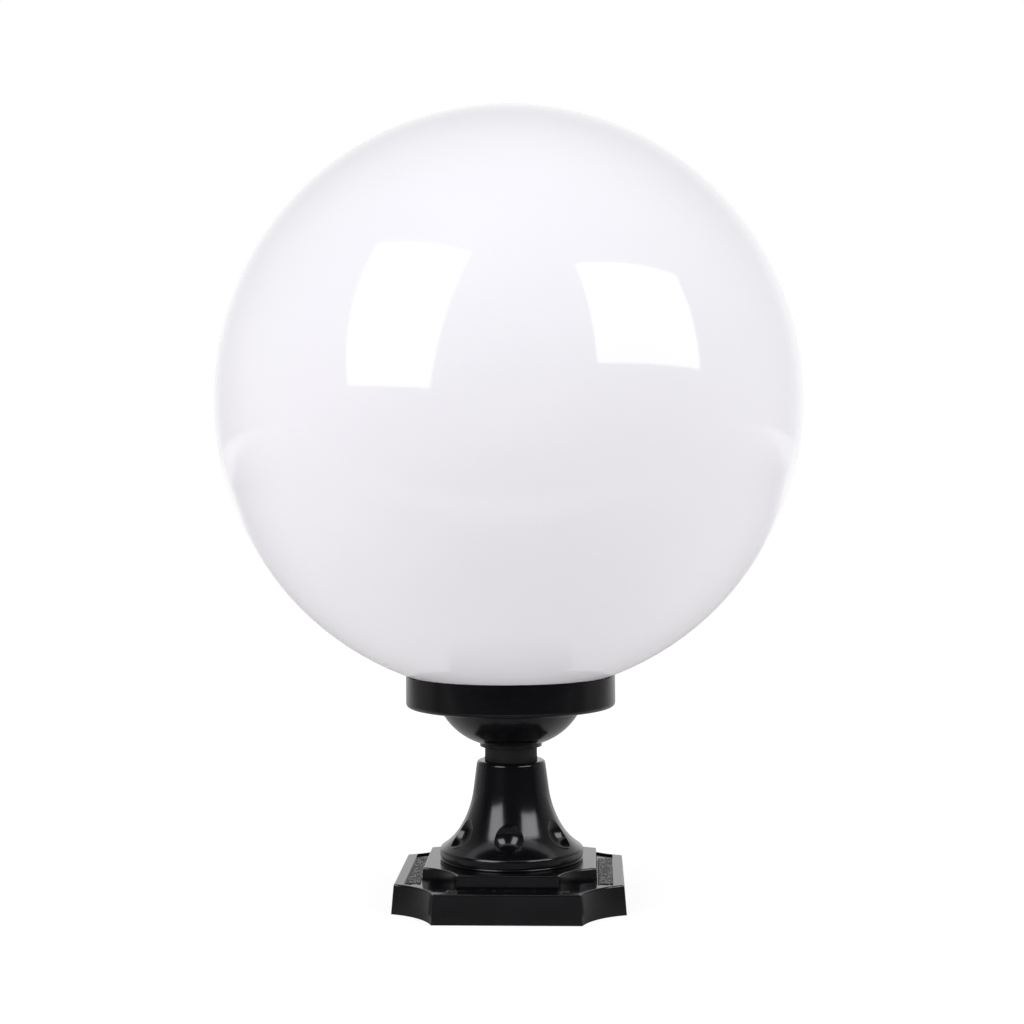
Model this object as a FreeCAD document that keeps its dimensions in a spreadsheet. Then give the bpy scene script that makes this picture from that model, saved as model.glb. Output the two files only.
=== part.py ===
import FreeCAD, Part
import math
import os
import re
import Sketcher

# Garden globe light: an opal globe in a black gallery cup, on a cast pedestal with a double
# scalloped plinth.  Millimetres, +Z up, the light's axis on Z, its front towards -Y and its
# underside on z = 0.

V = FreeCAD.Vector
PARTS_FOLDER = "parts"
LEAST_CHANGE = 0.01

# Driving dimensions.  Radii end in _r, heights in _high, thicknesses in _wall or _thick.
SIZES = {
    # lower plinth, a square with concave corners
    "plinth_half": 58.5,
    "plinth_high": 14.75,
    "plinth_draft": 5.0,
    "plinth_wall": 3.2,
    "plinth_edge": 0.8,
    "scallop_round": 33.0,
    "scallop_at": 68.2,
    "border_wide": 5.0,
    "scallop_rim": 1.5,
    "recess_deep": 1.0,
    # upper plinth
    "upper_half": 44.0,
    "upper_high": 7.15,
    "upper_round": 28.0,
    "upper_at": 52.2,
    # bell, from its foot up
    "bead_r": 36.4,
    "bead_high": 1.1,
    "bead_round": 0.6,
    "groove_r": 36.0,
    "groove_high": 0.8,
    "lip_r": 36.8,
    "lip_high": 4.1,
    "lip_round": 1.7,
    "flare_r": 36.1,
    "flare_high": 9.9,
    "flare_round": 31.0,
    "skirt_r": 26.4,
    "waist_r": 19.45,
    "waist_high": 19.5,
    "waist_round": 49.0,
    "taper_r": 17.7,
    "taper_high": 13.4,
    "shoulder_high": 1.8,
    "shoulder_in": 1.76,
    "bell_wall": 3.0,
    "bell_drop": 1.8,
    "bell_roof": 4.0,
    # round dimples in the bell
    "dimple_high": 14.07,
    "dimple_r": 27.56,
    "dimple_lean": 35.8,
    "dish_round": 9.85,
    "dish_deep": 4.15,
    "dish_wall": 2.2,
    "dish_count": 6,
    # neck between the bell and the cup
    "seal_r": 13.5,
    "seal_thick": 1.7,
    "sleeve_r": 13.4,
    "sleeve_high": 5.6,
    "sleeve_wall": 2.5,
    "sleeve_floor": 1.5,
    # gallery cup
    "boss_r": 15.9,
    "boss_high": 1.7,
    "bowl_r": 36.9,
    "bowl_high": 18.9,
    "bowl_round": 33.5,
    "bowl_floor": 2.8,
    "cup_wall": 2.5,
    "collar_r": 53.8,
    "collar_high": 16.15,
    "collar_edge": 2.0,
    "collar_bend": 2.02,
    "collar_wall": 2.2,
    "collar_slope": 0.8,
    # globe and its rubber ring
    "globe_r": 149.5,
    "globe_wall": 2.8,
    "globe_seam": 0.35,
    "neck_play": 0.6,
    "ring_floor": 2.0,
    "ring_high": 7.5,
    "ring_wall": 1.7,
    "play": 0.3,
    # threaded tube and its nuts
    "tube_r": 5.0,
    "tube_bore": 4.0,
    "tube_play": 0.3,
    "tube_proud": 3.7,
    "tube_under": 1.5,
    "nut_across": 17.0,
    "nut_high": 4.5,
    "thread_play": 0.05,
    "lock_r": 10.5,
    "lock_thick": 1.5,
    "bush_r": 6.8,
    "bush_lip": 1.2,
    "bush_deep": 3.0,
    "bush_bore": 4.2,
    # mounting plate, a square of sheet steel with a raised middle
    "plate_half": 41.0,
    "plate_thick": 2.5,
    "plate_corner": 5.0,
    "plate_rise": 10.0,
    "crown_r": 18.0,
    "crown_slope": 5.0,
    "fix_pitch": 60.0,
    "fix_r": 3.25,
    # lampholder bracket, bent from steel strip
    "strip_thick": 2.0,
    "strip_wide": 16.0,
    "strip_half_bend": 22.5,
    "leg_high": 36.0,
    "leg_bend": 9.4,
    "ear_wide": 10.0,
    "ear_start": 12.0,
    "ear_bend": 17.0,
    "ear_rise": 6.7,
    "ear_end": 24.5,
    # lampholder
    "holder_r": 20.5,
    "holder_high": 41.0,
    "holder_rise": 23.2,
    "holder_floor": 12.0,
    "holder_waist": 22.55,
    "holder_step": 1.6,
    "holder_round": 1.5,
    "holder_bend": 1.515,
    "holder_mouth": 16.0,
    "shell_r": 14.4,
    "shell_wall": 0.5,
    "shell_high": 25.0,
    "core_lap": 1.0,
    "side_screw_r": 2.0,
    "side_screw_deep": 4.5,
    "side_screw_head": 3.6,
    "side_screw_high": 1.8,
    "side_screw_up": 30.2,
    "contact_wide": 6.0,
    "contact_thick": 0.5,
    "contact_half": 8.0,
    "contact_knee": 2.7,
    "contact_tip": 4.0,
    "contact_rise": 1.7,
    "pin_r": 1.6,
    "pin_high": 1.5,
    "pin_y": 4.5,
    # terminal block and its leads
    "block_half": 10.0,
    "block_deep": 12.0,
    "block_high": 12.0,
    "block_front": 13.2,
    "block_screw_r": 1.9,
    "block_screw_high": 0.8,
    "block_screw_in": 3.0,
    "well_deep": 1.6,
    "pole_x": 5.5,
    "lead_r": 0.9,
    "lead_up": 5.0,
    "lead_turn": 3.6,
    "earth_r": 3.4,
    "earth_high": 2.0,
    "earth_up": 20.0,
    # lamp
    "button_r": 4.6,
    "button_high": 1.2,
    "glass_r": 12.4,
    "glass_foot_r": 5.6,
    "glass_high": 3.8,
    "cap_r": 13.4,
    "cap_wall": 0.6,
    "cap_high": 22.5,
    "lamp_neck_r": 14.6,
    "lamp_neck_high": 4.0,
    "lamp_r": 30.0,
    "lamp_rim_r": 27.5,
    "lamp_rim_high": 4.0,
    "lamp_high": 35.5,
    "lamp_wall": 1.6,
    "lamp_round": 70.0,
    "diffuser_wall": 1.2,
    "board_hole": 3.0,
    "board_thick": 1.6,
}

# Sizes and heights worked out from the driving dimensions, each from the foot of the light up.
LEVELS = {
    "recess_z": "plinth_high - recess_deep",
    "bell_foot": "recess_z + upper_high",
    "groove_z": "bell_foot + bead_high",
    "lip_foot": "groove_z + groove_high",
    "lip_head": "lip_foot + lip_high",
    "lip_edge": "lip_head - lip_round",
    "skirt_z": "lip_head + flare_high",
    "waist_z": "skirt_z + waist_high",
    "taper_z": "waist_z + taper_high",
    "bell_head": "taper_z + shoulder_high",
    "sleeve_foot": "bell_head + seal_thick",
    "cup_foot": "sleeve_foot + sleeve_high",
    "bowl_foot": "cup_foot + boss_high",
    "collar_foot": "bowl_foot + bowl_high",
    "collar_head": "collar_foot + collar_high",
    "cup_floor": "bowl_foot + bowl_floor",
    "ledge_z": "collar_foot + cup_wall",
    "neck_foot": "ledge_z + ring_floor + play",
    "neck_r": "collar_r - collar_wall - ring_wall - neck_play",
    "globe_z": "collar_head + globe_seam + sqrt(globe_r ^ 2 - collar_r ^ 2)",
    "crown_z": "plate_rise + plate_thick",
    "tube_hole": "tube_r + tube_play",
    "tube_foot": "plate_rise - nut_high - tube_under",
    "strip_foot": "cup_floor + lock_thick",
    "strip_head": "strip_foot + strip_thick",
    "strip_mitre": "strip_thick * tan(strip_half_bend)",
    "tube_head": "strip_head + nut_high + tube_proud",
    "holder_foot": "strip_foot + holder_rise",
    "well_z": "holder_foot + holder_floor",
    "contact_z": "well_z + contact_rise",
    "button_z": "contact_z + play",
    "glass_z": "button_z + button_high",
    "cap_z": "glass_z + glass_high",
    "lamp_z": "cap_z + cap_high",
    "lamp_head": "lamp_z + lamp_high",
    "rim_foot": "lamp_head - lamp_rim_high",
    "leg_x": "holder_r + play + strip_thick",
    "strip_flat": "leg_x - leg_bend",
    "ear_z": "strip_foot + ear_rise",
    "block_z": "ear_z + strip_thick",
    "pole_z": "block_z + lead_up",
    "leg_screw_z": "strip_foot + side_screw_up",
    "earth_z": "strip_foot + earth_up",
}

WORD = re.compile(r"[a-z][a-z_]*")

doc = FreeCAD.newDocument("garden_globe_light")
sheet = doc.addObject("Spreadsheet::Sheet", "sizes")


# ---------------------------------------------------------------- sizes and sketches

def fill_sheet():
    """Write every driving dimension into the sheet under its own name."""
    for row, (name, value) in enumerate(SIZES.items(), start=1):
        sheet.set("A%d" % row, name.replace("_", " "))
        sheet.set("B%d" % row, str(value))
        sheet.setAlias("B%d" % row, name)
    doc.recompute()


def formula(text):
    """The sheet's own expression for a size written with plain names."""
    def widen(match):
        word = match.group()
        if word in LEVELS:
            return "(" + WORD.sub(widen, LEVELS[word]) + ")"
        if word in SIZES:
            return "sizes." + word
        return word
    return WORD.sub(widen, text)


def number(text):
    """The present value of a size written with plain names."""
    return float(sheet.evalExpression(formula(text)))


def bind(thing, target, text):
    thing.setExpression(target, formula(text))


def origin_plane(body, role):
    return [f for f in body.Origin.OriginFeatures if f.Role == role][0]


def new_body(label):
    body = doc.addObject("PartDesign::Body", label)
    body.Label = label
    return body


def new_sketch(body, name, plane="XZ_Plane", height=None):
    """An empty sketch on one of the body's own planes, raised by height where given."""
    sketch = body.newObject("Sketcher::SketchObject", name)
    sketch.AttachmentSupport = [(origin_plane(body, plane), "")]
    sketch.MapMode = "FlatFace"
    if height is not None:
        bind(sketch, "AttachmentOffset.Base.z", height)
    return sketch


def hold_point(sketch, geometry, position, x_text, y_text, tag):
    """Fix one point of a sketch at two sizes from the sketch's origin."""
    for kind, text, axis in (("DistanceX", x_text, -2), ("DistanceY", y_text, -1)):
        if text == "0":
            sketch.addConstraint(Sketcher.Constraint("PointOnObject", geometry, position, axis))
            continue
        value = number(text)
        index = sketch.addConstraint(Sketcher.Constraint(kind, -1, 1, geometry, position, value))
        sketch.renameConstraint(index, kind[-1].lower() + tag)
        bind(sketch, "Constraints." + kind[-1].lower() + tag, text)


def arc_between(start, end, radius, turn):
    """The short arc from start to end, centred on the left of the way when turn is 'left'."""
    chord = end - start
    across = V(-chord.y, chord.x, 0).normalize()
    reach = math.sqrt(radius ** 2 - (chord.Length / 2) ** 2)
    side = 1 if turn == "left" else -1
    centre = (start + end) * 0.5 + across * (reach * side)
    first, last = (start, end) if turn == "left" else (end, start)
    angles = [math.atan2(p.y - centre.y, p.x - centre.x) for p in (first, last)]
    if angles[1] < angles[0]:
        angles[1] += 2 * math.pi
    return Part.ArcOfCircle(Part.Circle(centre, V(0, 0, 1), radius), *angles)


def draw(sketch, path, tag=""):
    """Draw a closed outline.  Each corner is (x, y), and (x, y, radius, turn) starts an arc."""
    places = [V(number(corner[0]), number(corner[1]), 0) for corner in path]
    starts = []
    for place, after, corner in zip(places, places[1:] + places[:1], path):
        if len(corner) == 2:
            index = sketch.addGeometry(Part.LineSegment(place, after))
            starts.append((index, 1, 2))
            continue
        index = sketch.addGeometry(arc_between(place, after, number(corner[2]), corner[3]))
        starts.append((index, 1, 2) if corner[3] == "left" else (index, 2, 1))
        held = sketch.addConstraint(Sketcher.Constraint("Radius", index, number(corner[2])))
        sketch.renameConstraint(held, "bend%s%d" % (tag, index))
        bind(sketch, "Constraints.bend%s%d" % (tag, index), corner[2])
    for here, (edge, _, end) in enumerate(starts):
        following, begin, _ = starts[(here + 1) % len(starts)]
        sketch.addConstraint(Sketcher.Constraint("Coincident", edge, end, following, begin))
    for (edge, begin, _), corner in zip(starts, path):
        hold_point(sketch, edge, begin, corner[0], corner[1], "%s%d" % (tag, edge))


def draw_circle(sketch, x_text, y_text, radius_text, tag=""):
    circle = Part.Circle(V(number(x_text), number(y_text), 0), V(0, 0, 1), number(radius_text))
    index = sketch.addGeometry(circle)
    held = sketch.addConstraint(Sketcher.Constraint("Radius", index, number(radius_text)))
    sketch.renameConstraint(held, "round" + tag)
    bind(sketch, "Constraints.round" + tag, radius_text)
    hold_point(sketch, index, 3, x_text, y_text, tag)


def box_path(x_low, y_low, x_high, y_high):
    return [(x_low, y_low), (x_high, y_low), (x_high, y_high), (x_low, y_high)]


def scalloped_path(half, radius, at):
    """A square of the given half width whose corners are cut by arcs centred at (at, at)."""
    flat = "(%s) - sqrt((%s) ^ 2 - ((%s) - (%s)) ^ 2)" % (at, radius, at, half)
    back_half, back_flat = "-(%s)" % half, "-(%s)" % flat
    return [
        (half, back_flat), (half, flat, radius, "right"),
        (flat, half), (back_flat, half, radius, "right"),
        (back_half, flat), (back_half, back_flat, radius, "right"),
        (back_flat, back_half), (flat, back_half, radius, "right"),
    ]


def hexagon_path(across):
    """A hexagon about the origin, two of its sides square to X."""
    reach, half, lift = "%s / sqrt(3)" % across, "%s / 2" % across, "%s / sqrt(12)" % across
    return [
        (half, "-" + lift), (half, lift), ("0", reach),
        ("-" + half, lift), ("-" + half, "-" + lift), ("0", "-" + reach),
    ]


# ---------------------------------------------------------------- features

def turn(body, name, path, cut=False):
    """Revolve a profile drawn in radius and height about the body's Z axis."""
    sketch = new_sketch(body, name + "_profile")
    draw(sketch, path)
    kind = "PartDesign::Groove" if cut else "PartDesign::Revolution"
    feature = body.newObject(kind, name)
    feature.Profile = sketch
    feature.ReferenceAxis = (sketch, ["V_Axis"])
    feature.Angle = 360


def pad(body, name, path, length, plane="XY_Plane", height=None, middle=False, draft=None):
    sketch = new_sketch(body, name + "_outline", plane, height)
    draw(sketch, path)
    feature = body.newObject("PartDesign::Pad", name)
    feature.Profile = sketch
    bind(feature, "Length", length)
    if middle:
        feature.Midplane = True
    if draft:
        bind(feature, "TaperAngle", "-" + draft)


def pocket(body, name, path, depth, height=None, upward=False):
    """Cut an outline on the XY plane downward, or upward from below."""
    sketch = new_sketch(body, name + "_outline", "XY_Plane", height)
    draw(sketch, path)
    feature = body.newObject("PartDesign::Pocket", name)
    feature.Profile = sketch
    feature.Reversed = upward
    bind(feature, "Length", depth)


def ring_path(inner, outer, low, high):
    return box_path(inner, low, outer, high)


def turned_ring(label, inner, outer, low, high):
    """A plain turned ring as a body of its own."""
    turn(new_body(label), label + "_ring", ring_path(inner, outer, low, high))


def hex_nut(name, low):
    """A hexagon nut on the threaded tube with its lower face at low."""
    body = new_body(name)
    pad(body, name + "_hexagon", hexagon_path("nut_across"), "nut_high", height=low)
    hole = ring_path("0", "tube_r + thread_play", low, "%s + nut_high" % low)
    turn(body, name + "_thread", hole, cut=True)
    return body


def rod(name, radius, high, x="0", y="0", z="0", along="z"):
    """A cylinder with its first face at (x, y, z), pointing along the named axis."""
    cylinder = doc.addObject("Part::Cylinder", name)
    bind(cylinder, "Radius", radius)
    bind(cylinder, "Height", high)
    for axis, text in (("x", x), ("y", y), ("z", z)):
        bind(cylinder, "Placement.Base." + axis, text)
    tilt = {"z": (V(0, 0, 1), 0), "x": (V(0, 1, 0), 90), "-x": (V(0, 1, 0), -90)}[along]
    cylinder.Placement.Rotation = FreeCAD.Rotation(*tilt)
    return cylinder


def fuse(label, pieces):
    joined = doc.addObject("Part::MultiFuse", label)
    joined.Shapes = pieces
    joined.Label = label
    return joined


def group(label, pieces):
    """Several separate solids that share one node."""
    compound = doc.addObject("Part::Compound", label)
    compound.Links = pieces
    compound.Label = label
    return compound


def round_edges(body, name, radius, chosen):
    """Fillet the edges of the body's last solid that chosen() picks."""
    doc.recompute()
    base = body.Tip
    names = ["Edge%d" % n for n, edge in enumerate(base.Shape.Edges, start=1) if chosen(edge)]
    fillet = body.newObject("PartDesign::Fillet", name)
    fillet.Base = (base, names)
    bind(fillet, "Radius", radius)


def lies_at(edge, height):
    """True for an edge that runs level at the given height."""
    return all(abs(vertex.Point.z - height) < LEAST_CHANGE for vertex in edge.Vertexes)


# ---------------------------------------------------------------- pedestal

def bell_outline():
    """The bell's outside from the foot of its bead up to the axis at its head."""
    return [
        ("0", "bell_foot"),
        ("bead_r", "bell_foot", "bead_round", "left"),
        ("bead_r", "groove_z"),
        ("groove_r", "groove_z"),
        ("groove_r", "lip_foot"),
        ("lip_r", "lip_foot"),
        ("lip_r", "lip_edge", "lip_round", "left"),
        ("flare_r", "lip_head", "flare_round", "right"),
        ("skirt_r", "skirt_z", "waist_round", "right"),
        ("waist_r", "waist_z"),
        ("taper_r", "taper_z", "shoulder_high", "left"),
        ("taper_r - shoulder_in", "bell_head"),
        ("0", "bell_head"),
    ]


def bell_hollow():
    """The inside of the bell: its outside drawn again, further in and lower by the wall."""
    return [
        ("0", "recess_z"),
        ("flare_r - bell_wall", "recess_z"),
        ("flare_r - bell_wall", "lip_head - bell_drop", "flare_round", "right"),
        ("skirt_r - bell_wall", "skirt_z - bell_drop", "waist_round", "right"),
        ("waist_r - bell_wall", "waist_z - bell_drop"),
        ("taper_r - bell_wall", "bell_head - bell_roof"),
        ("0", "bell_head - bell_roof"),
    ]


def cut_dishes(body, name, radius):
    """Six balls cut from a body, evenly spaced round it, centred outside the bell's skirt."""
    out = "dish_round - dish_deep"
    ball = body.newObject("PartDesign::SubtractiveSphere", name)
    ball.AttachmentSupport = [(origin_plane(body, "XY_Plane"), "")]
    ball.MapMode = "FlatFace"
    bind(ball, "Radius", radius)
    bind(ball, "AttachmentOffset.Base.y", "-(dimple_r + (%s) * cos(dimple_lean))" % out)
    bind(ball, "AttachmentOffset.Base.z", "bell_foot + dimple_high + (%s) * sin(dimple_lean)" % out)
    pattern = body.newObject("PartDesign::PolarPattern", name + "_ring")
    pattern.Originals = [ball]
    pattern.Axis = (origin_plane(body, "Z_Axis"), [""])
    pattern.Angle = 360
    bind(pattern, "Occurrences", "dish_count")
    body.Tip = pattern


def make_pedestal():
    """One hollow casting: lower plinth, upper plinth and bell, open underneath.

    The dimples show on the inside as bumps, so that the wall goes on behind them.
    """
    body = new_body("casting")
    pad(body, "lower_plinth", scalloped_path("plinth_half", "scallop_round", "scallop_at"),
        "plinth_high", draft="plinth_draft")
    lean = "plinth_high * tan(plinth_draft)"
    recess = scalloped_path("plinth_half - %s - border_wide" % lean,
                            "scallop_round + %s + scallop_rim" % lean, "scallop_at")
    pocket(body, "panel_recess", recess, "recess_deep", height="plinth_high")
    pad(body, "upper_plinth", scalloped_path("upper_half", "upper_round", "upper_at"),
        "upper_high", height="recess_z", draft="plinth_draft")
    top, foot = number("plinth_high"), number("bell_foot")
    reach, arc, at = (number(t) for t in ("plinth_half - " + lean, "scallop_round + " + lean,
                                          "scallop_at"))

    def outer_edge(edge):
        middle = edge.valueAt((edge.FirstParameter + edge.LastParameter) / 2)
        straight = abs(max(abs(middle.x), abs(middle.y)) - reach) < LEAST_CHANGE
        hollow = abs(math.hypot(abs(middle.x) - at, abs(middle.y) - at) - arc) < LEAST_CHANGE
        return lies_at(edge, foot) or (lies_at(edge, top) and (straight or hollow))

    round_edges(body, "plinth_edges", "plinth_edge", outer_edge)
    turn(body, "bell", bell_outline())
    cut_dishes(body, "dish", "dish_round")
    pocket(body, "lower_hollow",
           scalloped_path("plinth_half - plinth_wall", "scallop_round + plinth_wall", "scallop_at"),
           "recess_z - plinth_wall", upward=True)
    pocket(body, "upper_hollow",
           scalloped_path("upper_half - plinth_wall", "upper_round + plinth_wall", "upper_at"),
           "bell_foot - plinth_wall", upward=True)
    turn(body, "tube_hole", ring_path("0", "tube_hole", "bell_head - bell_roof", "bell_head"),
         cut=True)
    core = new_body("bell_core")
    turn(core, "core", bell_hollow())
    cut_dishes(core, "bump", "dish_round + dish_wall")
    pedestal = doc.addObject("Part::Cut", "pedestal")
    pedestal.Label = "pedestal"
    pedestal.Base = body
    pedestal.Tool = core


# ---------------------------------------------------------------- mounting plate and tube

def make_mounting_plate():
    """Square sheet-steel plate with a raised crown for the tube and four fixing holes."""
    body = new_body("mounting_plate")
    pad(body, "sheet", box_path("-plate_half", "-plate_half", "plate_half", "plate_half"),
        "plate_thick")
    reach = number("plate_half")

    def upright_corner(edge):
        middle = edge.CenterOfMass
        return abs(abs(middle.x) - reach) < LEAST_CHANGE and abs(abs(middle.y) - reach) < LEAST_CHANGE

    round_edges(body, "corners", "plate_corner", upright_corner)
    turn(body, "crown", [
        ("0", "0"), ("crown_r + crown_slope", "0"), ("crown_r + crown_slope", "plate_thick"),
        ("crown_r", "crown_z"), ("0", "crown_z")])
    turn(body, "crown_inside", [
        ("0", "0"), ("crown_r + crown_slope - plate_thick", "0"),
        ("crown_r - plate_thick / 2", "plate_rise"), ("0", "plate_rise")], cut=True)
    turn(body, "crown_hole", ring_path("0", "tube_hole", "plate_rise", "crown_z"), cut=True)
    sketch = new_sketch(body, "fixing_circles", "XY_Plane")
    for place, (x_sign, y_sign) in enumerate(((1, 1), (-1, 1), (-1, -1), (1, -1))):
        draw_circle(sketch, "%d * fix_pitch / 2" % x_sign, "%d * fix_pitch / 2" % y_sign,
                    "fix_r", tag="fix%d" % place)
    holes = body.newObject("PartDesign::Pocket", "fixing_holes")
    holes.Profile = sketch
    holes.Reversed = True
    bind(holes, "Length", "plate_thick")
    return body


def make_tube_parts():
    """The threaded tube that clamps the stack, with its nuts, washer and end bush."""
    turned_ring("tie_tube", "tube_bore", "tube_r", "tube_foot", "tube_head")
    group("plate_nuts", [hex_nut("nut_under", "plate_rise - nut_high"),
                         hex_nut("nut_over", "crown_z")])
    hex_nut("top_nut", "strip_head")
    turned_ring("lock_washer", "tube_hole", "lock_r", "cup_floor", "strip_foot")
    bush = new_body("tube_bush")
    turn(bush, "bush", [
        ("tube_r + thread_play", "tube_head - bush_deep"), ("bush_r", "tube_head - bush_deep"),
        ("bush_r", "tube_head + bush_lip"), ("bush_bore", "tube_head + bush_lip"),
        ("bush_bore", "tube_head"), ("tube_r + thread_play", "tube_head")])


def make_neck_parts():
    """Rubber seal on the bell's head and the grey sleeve that carries the cup."""
    turned_ring("neck_seal", "tube_hole", "seal_r", "bell_head", "sleeve_foot")
    sleeve = new_body("neck_sleeve")
    turn(sleeve, "sleeve", [
        ("sleeve_r - sleeve_wall", "sleeve_foot"), ("sleeve_r", "sleeve_foot"),
        ("sleeve_r", "cup_foot"), ("tube_hole", "cup_foot"),
        ("tube_hole", "cup_foot - sleeve_floor"),
        ("sleeve_r - sleeve_wall", "cup_foot - sleeve_floor")])


# ---------------------------------------------------------------- cup and globe

def make_gallery_cup():
    """Bowl and collar in one piece, with a ledge for the globe's rubber ring."""
    cup = new_body("gallery_cup")
    wall_r = "collar_r - collar_wall"
    turn(cup, "cup", [
        ("tube_hole", "cup_foot"),
        ("boss_r", "cup_foot"),
        ("boss_r", "bowl_foot", "bowl_round", "left"),
        ("bowl_r", "collar_foot"),
        ("collar_r - collar_edge", "collar_foot", "collar_bend", "left"),
        ("collar_r", "collar_foot + collar_edge"),
        ("collar_r", "collar_head"),
        (wall_r, "collar_head - collar_slope"),
        (wall_r, "ledge_z"),
        ("bowl_r - cup_wall", "ledge_z", "bowl_round - cup_wall", "right"),
        ("boss_r", "cup_floor"),
        ("tube_hole", "cup_floor"),
    ])
    return cup


def make_neck_gasket():
    """L-shaped rubber ring in the collar: the globe's neck pushes down into it."""
    gasket = new_body("neck_gasket")
    outer = "collar_r - collar_wall"
    inner = "collar_r - collar_wall - ring_wall"
    turn(gasket, "gasket", [
        ("neck_r - globe_wall", "ledge_z"), (outer, "ledge_z"),
        (outer, "ledge_z + ring_floor + ring_high"), (inner, "ledge_z + ring_floor + ring_high"),
        (inner, "ledge_z + ring_floor"), ("neck_r - globe_wall", "ledge_z + ring_floor")])
    return gasket


def make_globe_shade():
    """Hollow opal globe with a short straight neck."""
    shade = new_body("globe_shade")
    outer_join = "globe_z - sqrt(globe_r ^ 2 - neck_r ^ 2)"
    inner_join = "globe_z - sqrt((globe_r - globe_wall) ^ 2 - (neck_r - globe_wall) ^ 2)"
    turn(shade, "globe", [
        ("neck_r - globe_wall", "neck_foot"),
        ("neck_r", "neck_foot"),
        ("neck_r", outer_join, "globe_r", "left"),
        ("0", "globe_z + globe_r"),
        ("0", "globe_z + globe_r - globe_wall", "globe_r - globe_wall", "right"),
        ("neck_r - globe_wall", inner_join),
    ])
    return shade


# ---------------------------------------------------------------- lampholder and wiring

def make_holder_bracket():
    """Steel strip bent up on both sides of the lampholder, with an ear for the terminals."""
    body = new_body("holder_bracket")
    pad(body, "strip", [
        ("-strip_flat", "strip_foot"), ("strip_flat", "strip_foot"),
        ("leg_x", "strip_foot + leg_bend"), ("leg_x", "strip_foot + leg_high"),
        ("leg_x - strip_thick", "strip_foot + leg_high"),
        ("leg_x - strip_thick", "strip_foot + leg_bend + strip_mitre"),
        ("strip_flat - strip_mitre", "strip_head"), ("-(strip_flat - strip_mitre)", "strip_head"),
        ("-(leg_x - strip_thick)", "strip_foot + leg_bend + strip_mitre"),
        ("-(leg_x - strip_thick)", "strip_foot + leg_high"),
        ("-leg_x", "strip_foot + leg_high"), ("-leg_x", "strip_foot + leg_bend"),
    ], "strip_wide", plane="XZ_Plane", middle=True)
    pad(body, "ear", [
        ("0", "strip_foot"), ("ear_start", "strip_foot"), ("ear_bend", "ear_z"),
        ("ear_end", "ear_z"), ("ear_end", "block_z"), ("ear_bend - strip_mitre", "block_z"),
        ("ear_start - strip_mitre", "strip_head"), ("0", "strip_head"),
    ], "ear_wide", plane="YZ_Plane", middle=True)
    turn(body, "tube_hole_in_strip", ring_path("0", "tube_hole", "strip_foot", "strip_head"),
         cut=True)
    sketch = new_sketch(body, "side_circle", "YZ_Plane")
    draw_circle(sketch, "0", "leg_screw_z", "side_screw_r + tube_play", tag="side")
    holes = body.newObject("PartDesign::Pocket", "side_holes")
    holes.Profile = sketch
    holes.Midplane = True
    bind(holes, "Length", "2 * leg_x")
    sketch = new_sketch(body, "earth_circle", "YZ_Plane", "leg_x")
    draw_circle(sketch, "0", "earth_z", "side_screw_r + thread_play", tag="earth")
    hole = body.newObject("PartDesign::Pocket", "earth_hole")
    hole.Profile = sketch
    bind(hole, "Length", "strip_thick")
    return body


def make_lampholder():
    """Porcelain holder with its screw shell, spring contact, terminals and side screws."""
    body = new_body("lampholder_body")
    turn(body, "porcelain", [
        ("0", "holder_foot"),
        ("holder_r - holder_round", "holder_foot", "holder_bend", "left"),
        ("holder_r", "holder_foot + holder_round"),
        ("holder_r", "holder_foot + holder_waist"),
        ("holder_r - holder_step", "holder_foot + holder_waist + holder_step"),
        ("holder_r - holder_step", "holder_foot + holder_high - holder_round",
         "holder_bend", "left"),
        ("holder_r - holder_step - holder_round", "holder_foot + holder_high"),
        ("holder_mouth", "holder_foot + holder_high"),
        ("shell_r", "holder_foot + holder_high - holder_round"),
        ("shell_r", "well_z"),
        ("0", "well_z"),
    ])
    sketch = new_sketch(body, "side_thread", "YZ_Plane")
    draw_circle(sketch, "0", "leg_screw_z", "side_screw_r + thread_play", tag="thread")
    holes = body.newObject("PartDesign::Pocket", "side_threads")
    holes.Profile = sketch
    holes.Midplane = True
    bind(holes, "Length", "2 * holder_r")
    body.newObject("PartDesign::AdditiveCylinder", "well_core")
    core = body.Tip
    core.AttachmentSupport = [(origin_plane(body, "XY_Plane"), "")]
    core.MapMode = "FlatFace"
    bind(core, "AttachmentOffset.Base.z", "holder_foot")
    bind(core, "Radius", "shell_r + core_lap")
    bind(core, "Height", "holder_floor")

    turned_ring("lampholder_shell", "shell_r - shell_wall", "shell_r",
                "well_z", "well_z + shell_high")

    contact = new_body("lampholder_contact")
    pad(contact, "tongue", [
        ("-contact_half", "well_z"), ("-contact_knee", "well_z"),
        ("0", "contact_z - contact_thick"), ("contact_tip", "contact_z - contact_thick"),
        ("contact_tip", "contact_z"), ("-contact_thick / 2", "contact_z"),
        ("-contact_knee - contact_thick / 2", "well_z + contact_thick"),
        ("-contact_half", "well_z + contact_thick"),
    ], "contact_wide", plane="XZ_Plane", middle=True)

    group("holder_terminals", [
        rod("terminal_%s" % side, "pin_r", "pin_high", x="%s * pole_x" % sign, y="pin_y",
            z="holder_foot - pin_high") for side, sign in (("live", "-1"), ("neutral", "1"))])

    screws = []
    for side, sign, way in (("left", "-1", "x"), ("right", "1", "-x")):
        reach = "%s * (leg_x + side_screw_high)" % sign
        head = rod("screw_head_" + side, "side_screw_head", "side_screw_high",
                   x=reach, z="leg_screw_z", along=way)
        shank = rod("screw_shank_" + side, "side_screw_r",
                    "side_screw_high + strip_thick + side_screw_deep",
                    x=reach, z="leg_screw_z", along=way)
        screws.append(fuse("screw_" + side, [head, shank]))
    group("bracket_screws", screws)


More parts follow.
